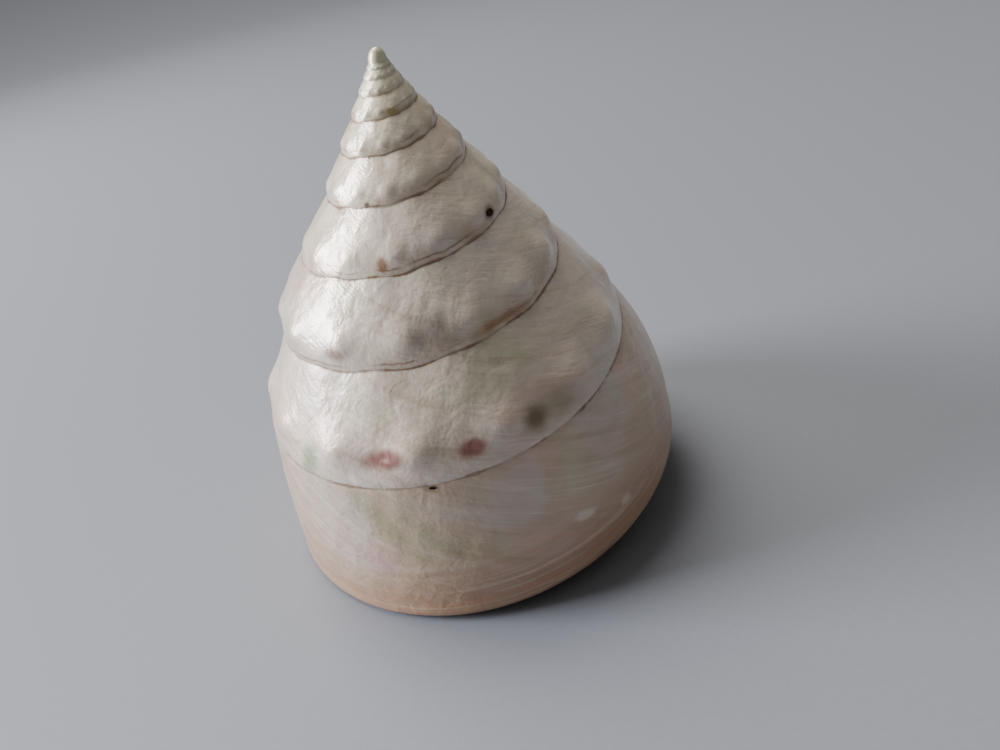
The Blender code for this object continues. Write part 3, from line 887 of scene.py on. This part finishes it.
def pit_dirt():
    """Dried grit in a bored hole: dark brown and dull."""
    material, tree, shader = new_material("pit_dirt")
    place = add_node(tree, "ShaderNodeTexCoord", output="Object")
    grit = add_node(tree, NOISE, {"Scale": 3000.0, "Detail": 3.0}, {0: place})
    cover = add_node(tree, RANGE, {**EASED, 1: 0.4, 2: 0.7}, {0: grit})
    colour = add_node(tree, MIX, {"data_type": "RGBA", MIX_A: linear("#4a3422"), MIX_B: linear("#745a41")},
                      {MIX_SHARE: cover}, MIX_OUT)
    tree.links.new(colour, shader["Base Color"])
    shader["Roughness"].default_value = 0.9
    return material


def floor_paint():
    """A plain pale painted board: matt, a little cool."""
    material, tree, shader = new_material("pale_floor")
    place = add_node(tree, "ShaderNodeTexCoord", output="Object")
    grain = add_node(tree, NOISE, {"Scale": 900.0, "Detail": 3.0}, {0: place})
    colour = add_node(tree, MIX, {"data_type": "RGBA", MIX_A: linear("#7c8089"), MIX_B: linear("#838790")},
                      {MIX_SHARE: grain}, MIX_OUT)
    tree.links.new(colour, shader["Base Color"])
    shader["Roughness"].default_value = 0.6
    return material


# The scene

def add_floor():
    """A wide floor that curves up into a backdrop far behind the shell."""
    rest()
    bpy.ops.mesh.primitive_grid_add(x_subdivisions=FLOOR_STEPS, y_subdivisions=FLOOR_STEPS, size=FLOOR_SIZE)
    floor = bpy.context.active_object
    floor.name = "floor"
    for vertex in floor.data.vertices:
        vertex.co.z = FLOOR_CURVE * max(0.0, vertex.co.xy.length - FLOOR_FLAT) ** 2
    bpy.ops.object.shade_smooth()
    floor.data.materials.append(floor_paint())


def add_light(name, place, target, size, power, colour):
    light = bpy.data.lights.new(name, "AREA")
    light.shape = "RECTANGLE"
    light.size, light.size_y = size
    light.energy = power
    light.color = linear(colour)[:3]
    lamp = bpy.data.objects.new(name, light)
    bpy.context.scene.collection.objects.link(lamp)
    lamp.location = place
    lamp.rotation_euler = (Vector(target) - Vector(place)).to_track_quat("-Z", "Y").to_euler()


def add_lights():
    world = bpy.data.worlds.new("soft_room")
    bpy.context.scene.world = world
    world.use_nodes = True
    background = world.node_tree.nodes["Background"]
    background.inputs["Color"].default_value = linear("#ebe5db")
    background.inputs["Strength"].default_value = 0.44
    add_light("window", (-1.10, 0.10, 0.46), (0.0, 0.0, 0.04), (0.45, 0.65), 31.0, "#f8f9ff")
    add_light("ceiling", (-0.60, 0.80, 1.85), (0.0, 0.0, 0.03), (1.5, 1.5), 56.0, "#fbf6ee")


def add_camera():
    view = bpy.data.cameras.new("view")
    view.lens = CAMERA_LENS
    view.sensor_width = SENSOR_WIDTH
    view.clip_start = 0.001
    camera = bpy.data.objects.new("view", view)
    bpy.context.scene.collection.objects.link(camera)
    camera.location = [value * MM for value in CAMERA_PLACE]
    camera.rotation_euler = Euler([math.radians(value) for value in CAMERA_TURN], "XYZ")
    bpy.context.scene.camera = camera


def build_shell():
    outside = polished_nacre()
    whorls = add_flanks()
    base = add_base()
    rest()
    for piece in (whorls, base):
        piece.data.materials.append(outside)
        piece.select_set(True)
    bpy.context.view_layer.objects.active = whorls
    bpy.ops.object.join()
    body = bpy.context.active_object
    body.name = "shell_polished"
    bpy.ops.object.mode_set(mode="EDIT")
    bpy.ops.mesh.select_all(action="SELECT")
    bpy.ops.mesh.remove_doubles(threshold=MERGE)
    rest()
    close_mouth(body)
    hollow = add_hollow()
    hollow.data.materials.append(inner_nacre())
    dirt = pit_dirt()
    pits = [add_pit(*pit) for pit in PITS]
    for pit in pits:
        pit.data.materials.append(dirt)
    cut_out(body, [hollow] + pits)
    pick(body)
    bpy.ops.object.shade_smooth_by_angle(angle=math.radians(40.0))
    rest()
    return body


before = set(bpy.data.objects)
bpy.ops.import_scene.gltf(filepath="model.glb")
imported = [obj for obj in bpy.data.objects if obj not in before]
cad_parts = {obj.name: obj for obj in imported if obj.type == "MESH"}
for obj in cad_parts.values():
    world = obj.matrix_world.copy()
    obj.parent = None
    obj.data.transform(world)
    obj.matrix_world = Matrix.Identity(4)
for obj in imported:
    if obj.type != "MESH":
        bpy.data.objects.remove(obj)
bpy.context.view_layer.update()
rest()
shell = build_shell()
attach(shell, "root")
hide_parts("shell")
add_floor()
add_lights()
add_camera()
